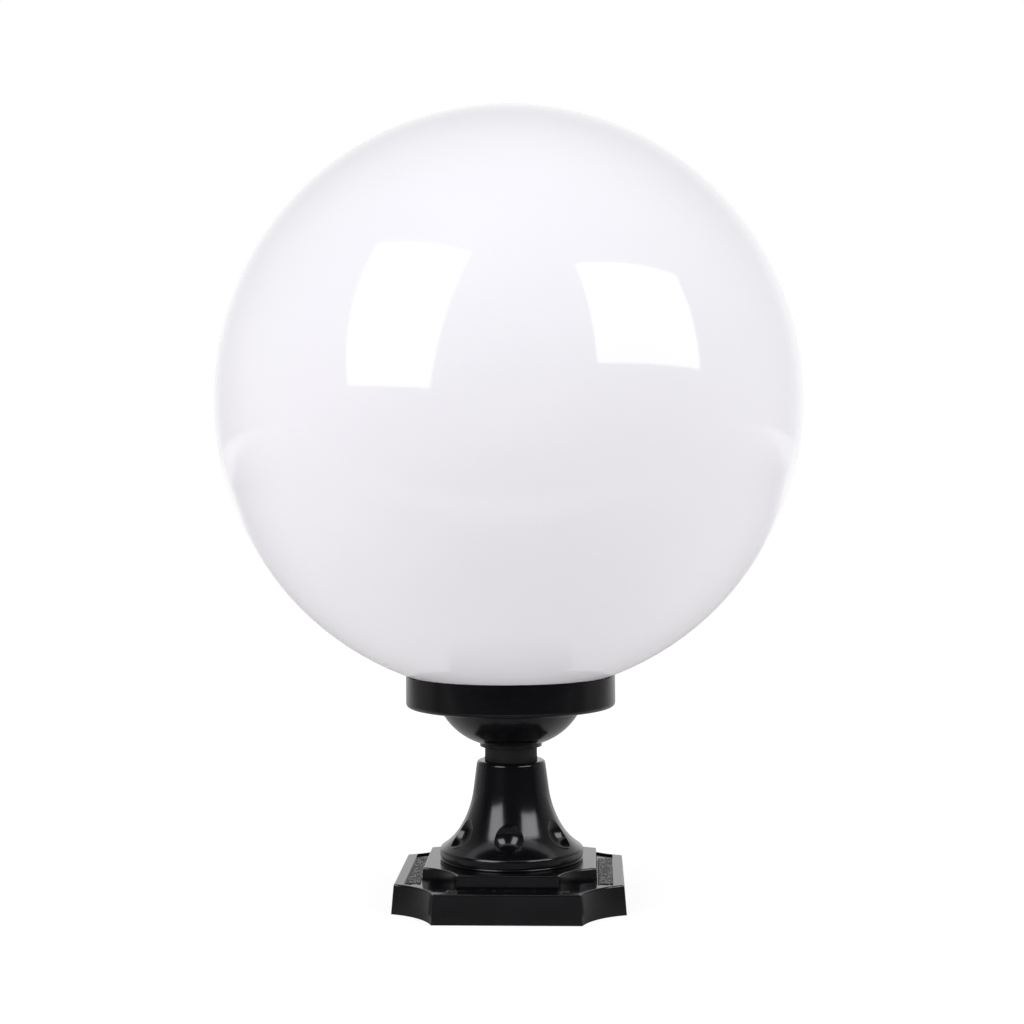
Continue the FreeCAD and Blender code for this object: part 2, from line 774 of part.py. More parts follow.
def make_terminals():
    """Two-pole terminal block on the bracket's ear, with its screws and the earth screw."""
    block = new_body("terminal_block")
    pad(block, "block", box_path("-block_half", "block_front", "block_half",
                                 "block_front + block_deep"), "block_high", height="block_z")
    sketch = new_sketch(block, "screw_wells", "XY_Plane", "block_z + block_high")
    screws = []
    for pole, x in enumerate(("-pole_x", "pole_x")):
        for row, y in enumerate(("block_front + block_screw_in",
                                 "block_front + block_deep - block_screw_in")):
            tag = "well%d%d" % (pole, row)
            draw_circle(sketch, x, y, "block_screw_r + tube_play", tag=tag)
            screws.append(rod(tag, "block_screw_r", "block_screw_high", x=x, y=y,
                              z="block_z + block_high - well_deep"))
    wells = block.newObject("PartDesign::Pocket", "wells")
    wells.Profile = sketch
    bind(wells, "Length", "well_deep")
    group("block_screws", screws)

    head = rod("earth_head", "earth_r", "earth_high", x="leg_x", z="earth_z", along="x")
    stem = rod("earth_stem", "side_screw_r", "earth_high + strip_thick", x="leg_x - strip_thick",
               z="earth_z", along="x")
    fuse("earth_screw", [head, stem])


def make_lead(label, sign):
    """Insulated lead from the terminal block to the holder's underside, one bend up."""
    x = number("%s * pole_x" % sign)
    front, turn_at = number("block_front"), number("pin_y")
    low, high = number("pole_z"), number("holder_foot - pin_high")
    radius, bend = number("lead_r"), number("lead_turn")
    start, corner, top = V(x, front, low), V(x, turn_at, low), V(x, turn_at, high)
    along = (corner - start).normalize()
    up = V(0, 0, 1)
    before, after = corner - along * bend, corner + up * bend
    centre = before + up * bend
    half_turn = (corner - centre).normalize() * bend
    path = Part.Wire([
        Part.LineSegment(start, before).toShape(),
        Part.Arc(before, centre + half_turn, after).toShape(),
        Part.LineSegment(after, top).toShape()])
    section = Part.Wire(Part.makeCircle(radius, start, along))
    lead = doc.addObject("Part::Feature", label)
    lead.Shape = path.makePipeShell([section], True, True)
    lead.Label = label


# ---------------------------------------------------------------- lamp

def make_lamp():
    """Screw-cap lamp: contact button, black glass, cap, housing, light board and diffuser."""
    button = new_body("lamp_button")
    turn(button, "button", [
        ("0", "button_z"), ("button_r - button_high", "button_z"),
        ("button_r", "button_z + button_high / 2"), ("button_r", "glass_z"), ("0", "glass_z")])

    glass = new_body("lamp_insulator")
    turn(glass, "insulator", [
        ("0", "glass_z"), ("glass_foot_r", "glass_z"), ("glass_r", "cap_z"), ("0", "cap_z")])

    cap = new_body("lamp_cap")
    turn(cap, "screw_cap", [
        ("glass_r - cap_wall", "cap_z"), ("glass_r", "cap_z"), ("cap_r", "cap_z + cap_wall * 2"),
        ("cap_r", "lamp_z"), ("cap_r - cap_wall", "lamp_z"),
        ("cap_r - cap_wall", "cap_z + cap_wall * 2")])

    housing = new_body("lamp_housing")
    neck_z = "lamp_z + lamp_neck_high"
    bore_r = "lamp_rim_r - lamp_wall"
    turn(housing, "housing", [
        ("lamp_neck_r - lamp_wall", "lamp_z"), ("lamp_neck_r", "lamp_z"),
        ("lamp_neck_r", neck_z, "lamp_round", "right"),
        ("lamp_rim_r", "rim_foot"), ("lamp_rim_r", "lamp_head"), (bore_r, "lamp_head"),
        (bore_r, "rim_foot", "lamp_round", "left"),
        ("lamp_neck_r - lamp_wall", neck_z)])

    board_head = "rim_foot + board_thick"
    turned_ring("light_board", "board_hole", bore_r, "rim_foot", board_head)

    diffuser = new_body("lamp_diffuser")
    dome_rise = "sqrt(lamp_r ^ 2 - lamp_rim_r ^ 2)"
    dome_z = "lamp_head + " + dome_rise
    inside_r = "sqrt((lamp_r - diffuser_wall) ^ 2 - (%s - diffuser_wall) ^ 2)" % dome_rise
    skirt_r = bore_r + " - diffuser_wall"
    turn(diffuser, "diffuser", [
        (skirt_r, board_head), (bore_r, board_head), (bore_r, "lamp_head"),
        ("lamp_rim_r", "lamp_head", "lamp_r", "left"),
        ("0", dome_z + " + lamp_r"),
        ("0", dome_z + " + lamp_r - diffuser_wall", "lamp_r - diffuser_wall", "right"),
        (inside_r, "lamp_head + diffuser_wall"),
        (skirt_r, "lamp_head + diffuser_wall"),
    ])


# ---------------------------------------------------------------- build, check, export

NODES = [
    "globe_shade", "neck_gasket", "gallery_cup", "neck_sleeve", "neck_seal", "pedestal",
    "mounting_plate", "plate_nuts", "tie_tube", "tube_bush", "lock_washer", "top_nut",
    "holder_bracket", "bracket_screws", "earth_screw", "lampholder_body", "lampholder_shell",
    "lampholder_contact", "holder_terminals", "terminal_block", "block_screws", "lead_live",
    "lead_neutral", "lamp_button", "lamp_insulator", "lamp_cap", "lamp_housing", "light_board",
    "lamp_diffuser",
]


def check_document():
    """Stop on a failed object, a broken shape, or a cut that removed nothing."""
    for thing in doc.Objects:
        if "Invalid" in thing.State or "Error" in thing.State:
            raise RuntimeError("failed object: %s %s" % (thing.Name, thing.State))
        base = getattr(thing, "BaseFeature", None)
        if base is None or thing.TypeId == "PartDesign::Body":
            continue
        if abs(thing.Shape.Volume - base.Shape.Volume) < LEAST_CHANGE:
            raise RuntimeError("%s changes nothing" % thing.Name)
    pedestal = doc.getObject("pedestal")
    if abs(pedestal.Base.Shape.Volume - pedestal.Shape.Volume) < LEAST_CHANGE:
        raise RuntimeError("the bell's core changes nothing")
    for name in NODES:
        shape = doc.getObject(name).Shape
        if shape.isNull() or not shape.isValid() or not shape.Solids:
            raise RuntimeError("bad shape: " + name)


def main():
    fill_sheet()
    make_pedestal()
    make_mounting_plate()
    make_tube_parts()
    make_neck_parts()
    make_gallery_cup()
    make_neck_gasket()
    make_globe_shade()
    make_holder_bracket()
    make_lampholder()
    make_terminals()
    make_lamp()
    make_lead("lead_live", "-1")
    make_lead("lead_neutral", "1")
    doc.recompute()
    check_document()
    os.makedirs(PARTS_FOLDER, exist_ok=True)
    for name in NODES:
        doc.getObject(name).Shape.exportStep("%s/%s.step" % (PARTS_FOLDER, name))
    print("nodes:", len(NODES))


main()
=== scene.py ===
import math

import bpy
from mathutils import Matrix, Vector, noise


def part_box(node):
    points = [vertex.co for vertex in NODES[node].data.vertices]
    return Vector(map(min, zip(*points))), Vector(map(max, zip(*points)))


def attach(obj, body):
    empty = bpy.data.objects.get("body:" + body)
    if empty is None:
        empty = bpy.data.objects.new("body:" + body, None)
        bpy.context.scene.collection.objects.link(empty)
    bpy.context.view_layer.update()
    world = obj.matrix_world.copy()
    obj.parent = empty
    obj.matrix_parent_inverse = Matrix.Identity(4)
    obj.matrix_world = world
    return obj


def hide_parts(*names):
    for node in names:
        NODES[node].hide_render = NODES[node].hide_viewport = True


# Looks of the garden globe light.  The light's axis is on Z, its front faces -Y and it stands
# on z = 0.  Camera, table and lamps are in metres; panels, threads and screws are worked out
# in millimetres and brought to metres with MM.

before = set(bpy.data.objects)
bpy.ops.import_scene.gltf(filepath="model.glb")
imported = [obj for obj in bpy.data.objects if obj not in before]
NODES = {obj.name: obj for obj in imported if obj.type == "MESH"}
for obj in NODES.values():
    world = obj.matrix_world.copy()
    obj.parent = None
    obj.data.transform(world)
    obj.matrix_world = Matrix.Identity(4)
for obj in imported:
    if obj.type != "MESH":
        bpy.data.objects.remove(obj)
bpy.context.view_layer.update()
MM = 0.001
WHITE = (1, 1, 1, 1)


# ---------------------------------------------------------------- camera

CAMERA_AT = Vector((0.04254, -0.91502, 0.21538))
CAMERA_AIM = Vector((-0.04501, 0.99882, -0.01798)).normalized()
CAMERA_ROLL = math.radians(0.37)
CAMERA_LENS = 62.68
SENSOR_WIDE = 36.0
CLIP_NEAR, CLIP_FAR = 0.01, 50.0


def make_camera():
    """The photograph's viewpoint, with its slight lean."""
    data = bpy.data.cameras.new("camera")
    data.lens = CAMERA_LENS
    data.sensor_width = SENSOR_WIDE
    data.clip_start, data.clip_end = CLIP_NEAR, CLIP_FAR
    camera = bpy.data.objects.new("camera", data)
    bpy.context.scene.collection.objects.link(camera)
    side = CAMERA_AIM.cross(Vector((0, 0, 1))).normalized()
    lift = side.cross(CAMERA_AIM)
    cos, sin = math.cos(CAMERA_ROLL), math.sin(CAMERA_ROLL)
    right = side * cos - lift * sin
    up = side * sin + lift * cos
    turn = Matrix((right, up, -CAMERA_AIM)).transposed().to_4x4()
    camera.matrix_world = Matrix.Translation(CAMERA_AT) @ turn
    bpy.context.scene.camera = camera


# ---------------------------------------------------------------- shader trees

NOISE_DETAIL = 3.0
NOISE_ROUGH = 0.5


class Nodes:
    """A shader tree with short calls for the few nodes used here."""

    def __init__(self, tree):
        self.tree = tree
        tree.nodes.clear()

    def add(self, kind, inputs=None, **settings):
        """A node; each input takes another node's socket or a constant."""
        node = self.tree.nodes.new("ShaderNode" + kind)
        for key, value in settings.items():
            setattr(node, key, value)
        for key, value in (inputs or {}).items():
            if isinstance(value, bpy.types.NodeSocket):
                self.tree.links.new(value, node.inputs[key])
            else:
                node.inputs[key].default_value = value
        return node

    def math(self, operation, *values):
        return self.add("Math", dict(enumerate(values)), operation=operation).outputs[0]

    def halved(self, value):
        """Brings what runs from -1 to 1 to run from 0 to 1."""
        return self.math("MULTIPLY_ADD", value, 0.5, 0.5)

    def noise(self, place, scale):
        made = self.add("TexNoise", {"Vector": place, "Scale": scale, "Detail": NOISE_DETAIL,
                                     "Roughness": NOISE_ROUGH})
        return made.outputs["Fac"]

    def ramp(self, value, *stops):
        """A colour ramp; each stop is a place and a colour or a grey."""
        node = self.add("ValToRGB", {"Fac": value})
        elements = node.color_ramp.elements
        while len(elements) < len(stops):
            elements.new(0.5)
        for element, (at, shade) in zip(elements, stops):
            element.position = at
            element.color = (shade,) * 3 + (1,) if isinstance(shade, float) else (*shade, 1)
        return node.outputs["Color"]

    def reach(self, value, start, end):
        """From one strength to another between two places, each given as place, strength."""
        return self.add("MapRange", {"Value": value, "From Min": start[0], "From Max": end[0],
                                     "To Min": start[1], "To Max": end[1]}).outputs[0]

    def spread(self, value, low, high):
        """Brings what runs from 0 to 1 to run from low to high."""
        return self.add("MapRange", {"Value": value, "To Min": low, "To Max": high}).outputs[0]

    def light_path(self):
        """One for camera, glossy and transmission rays, and one for camera rays alone."""
        path = self.add("LightPath")
        camera = path.outputs["Is Camera Ray"]
        seen = self.math("MAXIMUM", camera, path.outputs["Is Glossy Ray"])
        return self.math("MAXIMUM", seen, path.outputs["Is Transmission Ray"]), camera


# ---------------------------------------------------------------- materials

SHADE_LOW, SHADE_HIGH = 0.3, 0.7
GLOSS_FINER = 2.5
BUMP_DISTANCE = 0.2 * MM
COAT_ROUGH = 0.05
SUBSURFACE_RADIUS = (2 * MM, 2 * MM, 2 * MM)
SPANGLE_SCALE = 260.0
LATHE_RINGS, LATHE_WOBBLE, LATHE_WOBBLE_SCALE = 9000.0, 4.0, 300.0


def surface(name, shade, other, rough, rough_spread=0.04, patch=40.0, grain=900.0,
            grain_depth=0.02, metallic=0.0, ior=1.5, coat=0.0, subsurface=0.0, texture=None):
    """A moulded, painted or metal surface: two near shades in patches, uneven gloss and a
    fine grain.  texture(nodes, place) may give its own pattern in place of the patches."""
    made = bpy.data.materials.new(name)
    made.use_nodes = True
    nodes = Nodes(made.node_tree)
    place = nodes.add("TexCoord").outputs["Object"]
    pattern = texture(nodes, place) if texture else nodes.noise(place, patch)
    colour = nodes.ramp(pattern, (SHADE_LOW, shade), (SHADE_HIGH, other))
    gloss = nodes.spread(nodes.noise(place, patch * GLOSS_FINER), rough - rough_spread,
                         rough + rough_spread)
    bump = nodes.add("Bump", {"Height": nodes.noise(place, grain), "Strength": grain_depth,
                              "Distance": BUMP_DISTANCE})
    shader = nodes.add("BsdfPrincipled", {
        "Base Color": colour, "Roughness": gloss, "Normal": bump.outputs[0]})
    shader.inputs["Metallic"].default_value = metallic
    shader.inputs["IOR"].default_value = ior
    shader.inputs["Coat Weight"].default_value = coat
    shader.inputs["Coat Roughness"].default_value = COAT_ROUGH
    shader.inputs["Subsurface Weight"].default_value = subsurface
    shader.inputs["Subsurface Radius"].default_value = SUBSURFACE_RADIUS
    nodes.add("OutputMaterial", {"Surface": shader.outputs[0]})
    return made


def spangle(nodes, place):
    """The flat crystal patches of zinc plating."""
    cells = nodes.add("TexVoronoi", {"Vector": place, "Scale": SPANGLE_SCALE})
    tone = nodes.add("SeparateColor", {"Color": cells.outputs["Color"]})
    return tone.outputs[0]


def turned(nodes, place):
    """The close rings a lathe leaves, round the light's axis."""
    apart = nodes.add("SeparateXYZ", {"Vector": place})
    height = nodes.math("MULTIPLY", apart.outputs["Z"], LATHE_RINGS)
    wobble = nodes.math("MULTIPLY", nodes.noise(place, LATHE_WOBBLE_SCALE), LATHE_WOBBLE)
    wave = nodes.math("SINE", nodes.math("ADD", height, wobble))
    return nodes.halved(wave)


def make_materials():
    """One surface for each slot."""
    return {
        "opal_plastic": surface(
            "opal_globe", (0.790, 0.787, 0.794), (0.804, 0.800, 0.807), rough=0.07,
            rough_spread=0.015, patch=14.0, grain=120.0, grain_depth=0.004, ior=1.49),
        "black_gloss": surface(
            "black_gloss", (0.0020, 0.0019, 0.0024), (0.0030, 0.0029, 0.0036), rough=0.17,
            rough_spread=0.02, patch=60.0, grain=520.0, grain_depth=0.03, ior=1.62),
        "grey_plastic": surface(
            "grey_sleeve", (0.0055, 0.0055, 0.006), (0.0085, 0.0085, 0.009), rough=0.6,
            grain=1400.0, grain_depth=0.12),
        "black_rubber": surface(
            "black_rubber", (0.008, 0.008, 0.008), (0.014, 0.014, 0.014), rough=0.75,
            grain=1800.0, grain_depth=0.15),
        "black_plastic": surface(
            "black_nylon", (0.010, 0.010, 0.011), (0.017, 0.017, 0.018), rough=0.45,
            grain=1500.0, grain_depth=0.1),
        "zinc_steel": surface(
            "zinc_steel", (0.46, 0.47, 0.49), (0.62, 0.63, 0.65), rough=0.42,
            rough_spread=0.08, metallic=0.7, texture=spangle, grain=1500.0, grain_depth=0.05),
        "brass": surface(
            "brass", (0.60, 0.42, 0.16), (0.74, 0.54, 0.24), rough=0.30,
            rough_spread=0.06, metallic=0.85, texture=turned, grain=1500.0, grain_depth=0.04),
        "porcelain": surface(
            "glazed_porcelain", (0.76, 0.75, 0.71), (0.82, 0.81, 0.78), rough=0.16,
            grain=260.0, grain_depth=0.03, coat=0.5),
        "clear_nylon": surface(
            "natural_nylon", (0.62, 0.61, 0.56), (0.70, 0.69, 0.64), rough=0.38,
            grain=900.0, grain_depth=0.06, subsurface=0.2),
        "brown_wire": surface(
            "brown_wire", (0.085, 0.034, 0.016), (0.115, 0.048, 0.022), rough=0.42,
            grain=1600.0, grain_depth=0.06),
        "blue_wire": surface(
            "blue_wire", (0.016, 0.090, 0.30), (0.024, 0.12, 0.38), rough=0.42,
            grain=1600.0, grain_depth=0.06),
        "tin": surface(
            "tin_solder", (0.62, 0.62, 0.60), (0.74, 0.74, 0.72), rough=0.3,
            rough_spread=0.1, metallic=1.0, patch=300.0, grain=1200.0, grain_depth=0.08),
        "black_glass": surface(
            "black_glass", (0.010, 0.009, 0.016), (0.016, 0.014, 0.024), rough=0.1,
            grain=300.0, grain_depth=0.02, coat=0.6),
        "nickel": surface(
            "nickel_cap", (0.58, 0.56, 0.52), (0.70, 0.68, 0.64), rough=0.24,
            rough_spread=0.07, metallic=1.0, patch=120.0, grain=900.0, grain_depth=0.04),
        "white_plastic": surface(
            "white_housing", (0.74, 0.74, 0.73), (0.79, 0.79, 0.78), rough=0.36,
            grain=1300.0, grain_depth=0.07),
        "board_metal": surface(
            "light_board", (0.66, 0.67, 0.66), (0.74, 0.75, 0.74), rough=0.4,
            grain=1300.0, grain_depth=0.05),
        "frosted_plastic": surface(
            "frosted_dome", (0.80, 0.80, 0.79), (0.84, 0.84, 0.83), rough=0.42,
            grain=1600.0, grain_depth=0.1, subsurface=0.15),
    }


NODE_SLOTS = {
    "opal_plastic": ["globe_shade"],
    "black_gloss": ["pedestal", "gallery_cup"],
    "black_rubber": ["neck_gasket", "neck_seal"],
    "grey_plastic": ["neck_sleeve"],
    "zinc_steel": ["mounting_plate", "plate_nuts", "tie_tube", "lock_washer", "top_nut",
                   "holder_bracket", "bracket_screws", "block_screws"],
    "black_plastic": ["tube_bush"],
    "brass": ["earth_screw", "lampholder_contact", "lampholder_shell", "holder_terminals"],
    "porcelain": ["lampholder_body"],
    "clear_nylon": ["terminal_block"],
    "brown_wire": ["lead_live"],
    "blue_wire": ["lead_neutral"],
    "tin": ["lamp_button"],
    "black_glass": ["lamp_insulator"],
    "nickel": ["lamp_cap"],
    "white_plastic": ["lamp_housing"],
    "board_metal": ["light_board"],
    "frosted_plastic": ["lamp_diffuser"],
}


def dress_nodes(materials):
    """Give every node of the frame its own surface."""
    for slot, names in NODE_SLOTS.items():
        for name in names:
            data = NODES[name].data
            data.materials.clear()
            data.materials.append(materials[slot])


# ---------------------------------------------------------------- mesh helpers

def new_piece(name, points, faces, body, slot, materials, smooth=True, stands_for=()):
    """A mesh piece that rides on a body, takes a slot's surface and may replace nodes."""
    data = bpy.data.meshes.new(name)
    data.from_pydata([tuple(p) for p in points], [], faces)
    data.update()
    data.polygons.foreach_set("use_smooth", [smooth] * len(data.polygons))
    data.materials.append(materials[slot])
    piece = bpy.data.objects.new(name, data)
    bpy.context.scene.collection.objects.link(piece)
    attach(piece, body)
    if stands_for:
        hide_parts(*stands_for)
    return piece


# ---------------------------------------------------------------- plinth panels

# millimetres: the recess's floor, the pebbles' foot over it and their height
RECESS_Z, PANEL_SKIN, PEBBLE_HIGH = 13.75, 0.10, 0.85
# the panel's edges nearest to and farthest from the axis, half its length, its mesh's cell
PANEL_NEAR, PANEL_FAR = 44.2, 51.9
PANEL_HALF_LONG = 30.4
PANEL_CELL = 0.36
PEBBLE_WIDE = 1.05
# how soon a pebble falls off, its share in the height, and how much finer the rest is
PEBBLE_STEEP = 1.25
PEBBLE_SHARE = 0.75
PEBBLE_FINER = 2
# keeps the four sides' patterns apart
SIDE_SHIFT = 70
SIDES = ("right", "back", "left", "front")


def pebble_height(x, y):
    """Rounded pebbles with a finer unevenness on them, as a share of their height."""
    spot = Vector((x, y, 0)) / PEBBLE_WIDE
    height = 1 - min(1, PEBBLE_STEEP * noise.voronoi(spot)[0][0])
    return PEBBLE_SHARE * height + (1 - PEBBLE_SHARE) * noise.noise(spot * PEBBLE_FINER)


def make_panels(materials):
    """The pebbled panel let into each side of the lower plinth."""
    across = round((PANEL_FAR - PANEL_NEAR) / PANEL_CELL)
    along = round(2 * PANEL_HALF_LONG / PANEL_CELL)
    for quarter, side in enumerate(SIDES):
        points, faces = [], []
        for i in range(across + 1):
            for j in range(along + 1):
                x = PANEL_NEAR + (PANEL_FAR - PANEL_NEAR) * i / across
                y = PANEL_HALF_LONG * (2 * j / along - 1)
                height = pebble_height(x + SIDE_SHIFT * quarter, y)
                if i in (0, across) or j in (0, along):
                    height = -PANEL_SKIN / PEBBLE_HIGH
                points.append(Vector((x, y, RECESS_Z + PANEL_SKIN + PEBBLE_HIGH * height)))
        for i in range(across):
            for j in range(along):
                corner = i * (along + 1) + j
                faces.append((corner, corner + along + 1, corner + along + 2, corner + 1))
        turn = Matrix.Rotation(math.radians(90 * quarter), 4, "Z")
        new_piece("panel_relief_" + side, [turn @ p * MM for p in points], faces, "base",
                  "black_gloss", materials)


# ---------------------------------------------------------------- threads

# points round a thread, and rows of them for each turn of the tube's thread
AROUND, TUBE_ROWS = 72, 6
# millimetres
TUBE_PITCH, TUBE_DEPTH, TUBE_BORE, TUBE_END, TUBE_RUN_OUT = 1.0, 0.55, 4.0, 16.0, 1.0
SHELL_PITCH, SHELL_STEP, SHELL_WALL, SHELL_RUN_OUT = 3.629, 0.3, 0.4, 1.5
CAP_DEPTH, CAP_FOOT_R, CAP_CHAMFER, CAP_SKIRT = 1.05, 12.4, 1.2, 5.5
HOLDER_DEPTH = 0.5


def span(node):
    """The radius and the lowest and highest point of a node round the axis."""
    low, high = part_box(node)
    return (high[0] - low[0]) / 2 / MM, low[2] / MM, high[2] / MM


def climb(low, high, step):
    """Heights from low to high, about a step apart."""
    count = max(1, round((high - low) / step))
    return [low + (high - low) * i / count for i in range(count + 1)]


def threaded_ring(node, rows, pitch, body, slot, materials):
    """A ring round the axis in place of a node.  A row is a radius, a height and the depth
    of the thread there; the rows go up the outside and back down the inside."""
    points, faces = [], []
    for radius, height, depth in rows:
        for step in range(AROUND):
            turn = step / AROUND
            reach = radius - depth * (0.5 - 0.5 * math.cos(math.tau * (height / pitch - turn)))
            points.append(Vector((reach * math.cos(math.tau * turn),
                                  reach * math.sin(math.tau * turn), height)) * MM)
    for row in range(len(rows)):
        here, there = row * AROUND, (row + 1) % len(rows) * AROUND
        for step in range(AROUND):
            after = (step + 1) % AROUND
            faces.append((here + step, here + after, there + after, there + step))
    new_piece(node + "_threaded", points, faces, body, slot, materials, stands_for=(node,))


def rolled_rows(radius, low, high, depth, top):
    """Rows up the outside and down the inside of thin sheet with a rolled thread, which
    fades out at its foot and towards its top."""
    outside = [(radius, z, depth * max(0, min(1, (z - low) / SHELL_RUN_OUT,
                                              (top - z) / SHELL_RUN_OUT)))
               for z in climb(low, high, SHELL_STEP)]
    return outside + [(r - SHELL_WALL, z, d) for r, z, d in reversed(outside)]


def make_threads(materials):
    """The threads of the tube's two ends, the lamp's cap and the holder's shell."""
    radius, low, high = span("tie_tube")
    step = TUBE_PITCH / TUBE_ROWS
    rows = [(radius, z, TUBE_DEPTH * min(1, (z - low) / TUBE_RUN_OUT))
            for z in climb(low, low + TUBE_END, step)]
    rows += [(radius, z, TUBE_DEPTH * min(1, (high - z) / TUBE_RUN_OUT))
             for z in climb(high - TUBE_END, high, step)]
    rows += [(TUBE_BORE, high, 0), (TUBE_BORE, low, 0)]
    threaded_ring("tie_tube", rows, TUBE_PITCH, "base", "zinc_steel", materials)

    radius, low, high = span("lamp_cap")
    rows = rolled_rows(radius, low + CAP_CHAMFER, high, CAP_DEPTH, high - CAP_SKIRT)
    rows = [(CAP_FOOT_R, low, 0)] + rows + [(CAP_FOOT_R - SHELL_WALL, low, 0)]
    threaded_ring("lamp_cap", rows, SHELL_PITCH, "lamp", "nickel", materials)

    radius, low, high = span("lampholder_shell")
    rows = rolled_rows(radius, low, high, HOLDER_DEPTH, high)
    threaded_ring("lampholder_shell", rows, SHELL_PITCH, "base", "brass", materials)


# ---------------------------------------------------------------- slotted screws

# steps round each half of a head, half the slot's width as a share of the head's radius, and
# the slot's depth as a share of its height
HEAD_STEPS, SLOT_SHARE, SLOT_DEPTH_SHARE = 12, 0.26, 0.5
# millimetres: head radius, head height, shank radius, shank length
BRACKET_SCREW = (3.6, 1.8, 2.0, 6.5)
EARTH_SCREW = (3.4, 2.0, 2.0, 2.0)
BLOCK_SCREW = (1.9, 0.8, 1.0, 0.0)
HEAD_BEVEL, BEVEL_SEGMENTS = 0.14, 2
ARM_FACE_X, BRACKET_SCREW_Z, EARTH_SCREW_Z = 22.8, 115.0, 104.8
BLOCK_SCREW_XS, BLOCK_SCREW_YS, BLOCK_SCREW_Z = (-5.5, 5.5), (16.2, 22.2), 103.9
SLOT_TURN = math.radians(35)


def slotted(screw, place, points, faces):
    """Add a screw with a slot across its head, the head's seat at place, to a mesh."""
    radius, high, shank_r, shank = screw
    half = math.asin(SLOT_SHARE)
    arc = [half + (math.pi - 2 * half) * i / HEAD_STEPS for i in range(HEAD_STEPS + 1)]
    angles = arc + [angle + math.pi for angle in arc]
    count = len(angles)
    start = len(points)

    def ring(reach, z):
        points.extend(place @ Vector((reach * math.cos(a), reach * math.sin(a), z)) * MM
                      for a in angles)

    def wall(low, high, steps):
        for i in steps:
            j = (i + 1) % count
            faces.append(tuple(start + n for n in (low + i, low + j, high + j, high + i)))

    around = range(count)
    arcs = [i for i in around if i not in (HEAD_STEPS, count - 1)]
    ring(shank_r, -shank)
    ring(shank_r, 0)
    ring(radius, 0)
    ring(radius, high * (1 - SLOT_DEPTH_SHARE))
    ring(radius, high)
    for low in range(3):
        wall(low * count, (low + 1) * count, around)
    wall(3 * count, 4 * count, arcs)
    floor, top, last = start + 3 * count, start + 4 * count, HEAD_STEPS
    faces.append(tuple(start + i for i in reversed(around)))
    faces.append(tuple(top + i for i in range(last + 1)))
    faces.append(tuple(top + i for i in range(last + 1, count)))
    faces.append((floor + last, floor, top, top + last))
    faces.append((floor + count - 1, floor + last + 1, top + last + 1, top + count - 1))
    faces.append((floor + count - 1, floor, floor + last, floor + last + 1))


def make_screws(materials):
    """The holder's side screws, the earth screw and the terminal screws, with their slots."""
    sideways = Matrix.Rotation(math.radians(90), 4, "Y")
    half_turn = Matrix.Rotation(math.pi, 4, "Z")
    slot_turn = Matrix.Rotation(SLOT_TURN, 4, "Z")
    arm_place = Matrix.Translation((ARM_FACE_X, 0, BRACKET_SCREW_Z))
    earth_place = Matrix.Translation((ARM_FACE_X, 0, EARTH_SCREW_Z))
    block_places = [Matrix.Translation((x, y, BLOCK_SCREW_Z))
                    for x in BLOCK_SCREW_XS for y in BLOCK_SCREW_YS]
    kinds = {
        "bracket_screws": ("zinc_steel", BRACKET_SCREW, [
            arm_place @ sideways @ slot_turn, half_turn @ arm_place @ sideways]),
        "earth_screw": ("brass", EARTH_SCREW, [earth_place @ sideways]),
        "block_screws": ("zinc_steel", BLOCK_SCREW, [
            place @ slot_turn for place in block_places]),
    }
    for node, (slot, screw, places) in kinds.items():
        points, faces = [], []
        for place in places:
            slotted(screw, place, points, faces)
        piece = new_piece(node + "_slotted", points, faces, "base", slot, materials,
                          smooth=False, stands_for=(node,))
        edge = piece.modifiers.new("eased_edges", "BEVEL")
        edge.width, edge.segments = HEAD_BEVEL * MM, BEVEL_SEGMENTS
        edge.limit_method = "ANGLE"


# ---------------------------------------------------------------- world and table

# stops over the way a ray goes, from 0 towards the front to 1 towards the back
BACKDROP = ((0.0, (0.030, 0.028, 0.036)), (0.42, (0.036, 0.034, 0.042)), (0.52, 0.14),
            (0.68, 0.28), (0.80, 0.36), (0.88, 0.54), (0.94, 0.90), (0.97, 1.0))
AMBIENT = ((0.0, (0.42, 0.42, 0.43)), (0.42, (0.43, 0.43, 0.44)), (0.8, (0.76, 0.76, 0.77)))

# the front edge runs a little askew
FLOOR_CORNERS = ((-3.0, -0.562), (3.0, -0.262), (3.0, 6.0), (-3.0, 6.0))
# each a distance and a strength there: to the camera round the foot, where the weaker glow
# is painted shade round the foot, and mirrored to the sides and far away, where the dimming
# to the sides is painted shade
TABLE_NEAR_PAINTED_SHADE, TABLE_FAR = (0.08, 0.90), (0.45, 1.0)
TABLE_SIDES_PAINTED_SHADE = (0.2, 1.0), (0.62, 0.27)
TABLE_REACH = (1.1, 0.27), (2.4, 0.85)
# mirrored strength over DEPTH_SCALE * y + DEPTH_SHIFT; the dark band in front of the foot
# is a painted shadow of the globe on the table, and the lower strength in front than far
# behind is painted shade
DEPTH_SCALE, DEPTH_SHIFT = 0.5, 0.25
TABLE_DEPTHS_PAINTED_SHADOW = ((0.07, 0.65), (0.105, 0.06), (0.19, 0.045), (0.22, 0.15), (0.24, 0.25),
                (0.27, 0.42), (0.45, 0.42), (0.60, 0.48), (0.85, 0.80), (1.0, 1.0))
# the sides fall off over the distance beside the axis, less half that towards the back;
# this fall-off is painted shade on the mirrored table
SIDES_SLOPE = -0.5
# diffuse share that keeps the shadow, in reflections and to the camera
TABLE_SHADED = (0.10, 0.12)
TABLE_MATT = (0.78, 0.75, 0.77, 1)
TABLE_BOUNCE = 0.36


